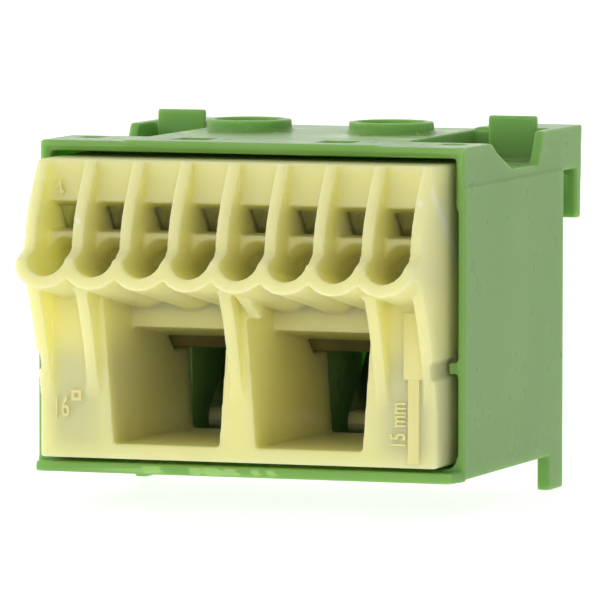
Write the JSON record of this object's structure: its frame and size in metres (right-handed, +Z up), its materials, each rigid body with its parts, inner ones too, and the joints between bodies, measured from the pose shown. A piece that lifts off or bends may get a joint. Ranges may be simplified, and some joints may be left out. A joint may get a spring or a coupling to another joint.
{
  "type": "din rail terminal block",
  "caption": "Push-in earth terminal block: hooked green housing, yellow front insert with a row of small round wire entries over two large tunnels, spring clamps and a busbar inside.",
  "frame": {"origin": "centre of the bounding box, at the level of the feet's undersides", "axes": "+X to the right seen from the wire side, +Y from the wire side to the rail hooks, +Z up"},
  "size_m": [0.045, 0.0518, 0.038],
  "materials": {
    "housing_plastic": "satin moulded polyamide",
    "insert_plastic": "satin moulded polyamide",
    "busbar_metal": "tin-plated copper",
    "spring_steel": "bright spring steel"
  },
  "bodies": {
    "root": {"housing": "housing_plastic", "front_insert": "insert_plastic", "busbar": "busbar_metal", "small_spring_1": "spring_steel", "small_spring_2": "spring_steel", "small_spring_3": "spring_steel", "small_spring_4": "spring_steel", "small_spring_5": "spring_steel", "small_spring_6": "spring_steel", "small_spring_7": "spring_steel", "small_spring_8": "spring_steel", "large_spring_left": "spring_steel", "large_spring_right": "spring_steel"},
    "small_leg_1": {"small_clamp_leg_1": "spring_steel"},
    "small_leg_2": {"small_clamp_leg_2": "spring_steel"},
    "small_leg_3": {"small_clamp_leg_3": "spring_steel"},
    "small_leg_4": {"small_clamp_leg_4": "spring_steel"},
    "small_leg_5": {"small_clamp_leg_5": "spring_steel"},
    "small_leg_6": {"small_clamp_leg_6": "spring_steel"},
    "small_leg_7": {"small_clamp_leg_7": "spring_steel"},
    "small_leg_8": {"small_clamp_leg_8": "spring_steel"},
    "large_leg_left": {"large_clamp_leg_left": "spring_steel"},
    "tab_left": {"latch_tab_left": "housing_plastic"},
    "large_leg_right": {"large_clamp_leg_right": "spring_steel"},
    "tab_right": {"latch_tab_right": "housing_plastic"}
  },
  "joints": [
    {"name": "small_leg_1_flex", "type": "hinge", "parent": "root", "child": "small_leg_1", "pos_m": [-0.01767, -0.01379, 0.0307], "axis": [1, 0, 0], "range_deg": [0, 20], "stiffness_Nm_per_rad": 0.02, "springref_deg": -14.32},
    {"name": "small_leg_2_flex", "type": "hinge", "parent": "root", "child": "small_leg_2", "pos_m": [-0.01263, -0.01379, 0.0307], "axis": [1, 0, 0], "range_deg": [0, 20], "stiffness_Nm_per_rad": 0.02, "springref_deg": -14.32},
    {"name": "small_leg_3_flex", "type": "hinge", "parent": "root", "child": "small_leg_3", "pos_m": [-0.00758, -0.01379, 0.0307], "axis": [1, 0, 0], "range_deg": [0, 20], "stiffness_Nm_per_rad": 0.02, "springref_deg": -14.32},
    {"name": "small_leg_4_flex", "type": "hinge", "parent": "root", "child": "small_leg_4", "pos_m": [-0.00252, -0.01379, 0.0307], "axis": [1, 0, 0], "range_deg": [0, 20], "stiffness_Nm_per_rad": 0.02, "springref_deg": -14.32},
    {"name": "small_leg_5_flex", "type": "hinge", "parent": "root", "child": "small_leg_5", "pos_m": [0.00252, -0.01379, 0.0307], "axis": [1, 0, 0], "range_deg": [0, 20], "stiffness_Nm_per_rad": 0.02, "springref_deg": -14.32},
    {"name": "small_leg_6_flex", "type": "hinge", "parent": "root", "child": "small_leg_6", "pos_m": [0.00758, -0.01379, 0.0307], "axis": [1, 0, 0], "range_deg": [0, 20], "stiffness_Nm_per_rad": 0.02, "springref_deg": -14.32},
    {"name": "small_leg_7_flex", "type": "hinge", "parent": "root", "child": "small_leg_7", "pos_m": [0.01263, -0.01379, 0.0307], "axis": [1, 0, 0], "range_deg": [0, 20], "stiffness_Nm_per_rad": 0.02, "springref_deg": -14.32},
    {"name": "small_leg_8_flex", "type": "hinge", "parent": "root", "child": "small_leg_8", "pos_m": [0.01767, -0.01379, 0.0307], "axis": [1, 0, 0], "range_deg": [0, 20], "stiffness_Nm_per_rad": 0.02, "springref_deg": -14.32},
    {"name": "large_leg_left_flex", "type": "hinge", "parent": "root", "child": "large_leg_left", "pos_m": [-0.0075, 0.00876, 0.00695], "axis": [1, 0, 0], "range_deg": [-40, 0], "stiffness_Nm_per_rad": 0.08, "springref_deg": 17.19},
    {"name": "large_leg_right_flex", "type": "hinge", "parent": "root", "child": "large_leg_right", "pos_m": [0.0075, 0.00876, 0.00695], "axis": [1, 0, 0], "range_deg": [-40, 0], "stiffness_Nm_per_rad": 0.08, "springref_deg": 17.19},
    {"name": "tab_left_flex", "type": "hinge", "parent": "root", "child": "tab_left", "pos_m": [-0.0179, 0.01631, 0.0336], "axis": [1, 0, 0], "range_deg": [-6, 6], "stiffness_Nm_per_rad": 0.1},
    {"name": "tab_right_flex", "type": "hinge", "parent": "root", "child": "tab_right", "pos_m": [0.0179, 0.01631, 0.0336], "axis": [1, 0, 0], "range_deg": [-6, 6], "stiffness_Nm_per_rad": 0.1}
  ]
}
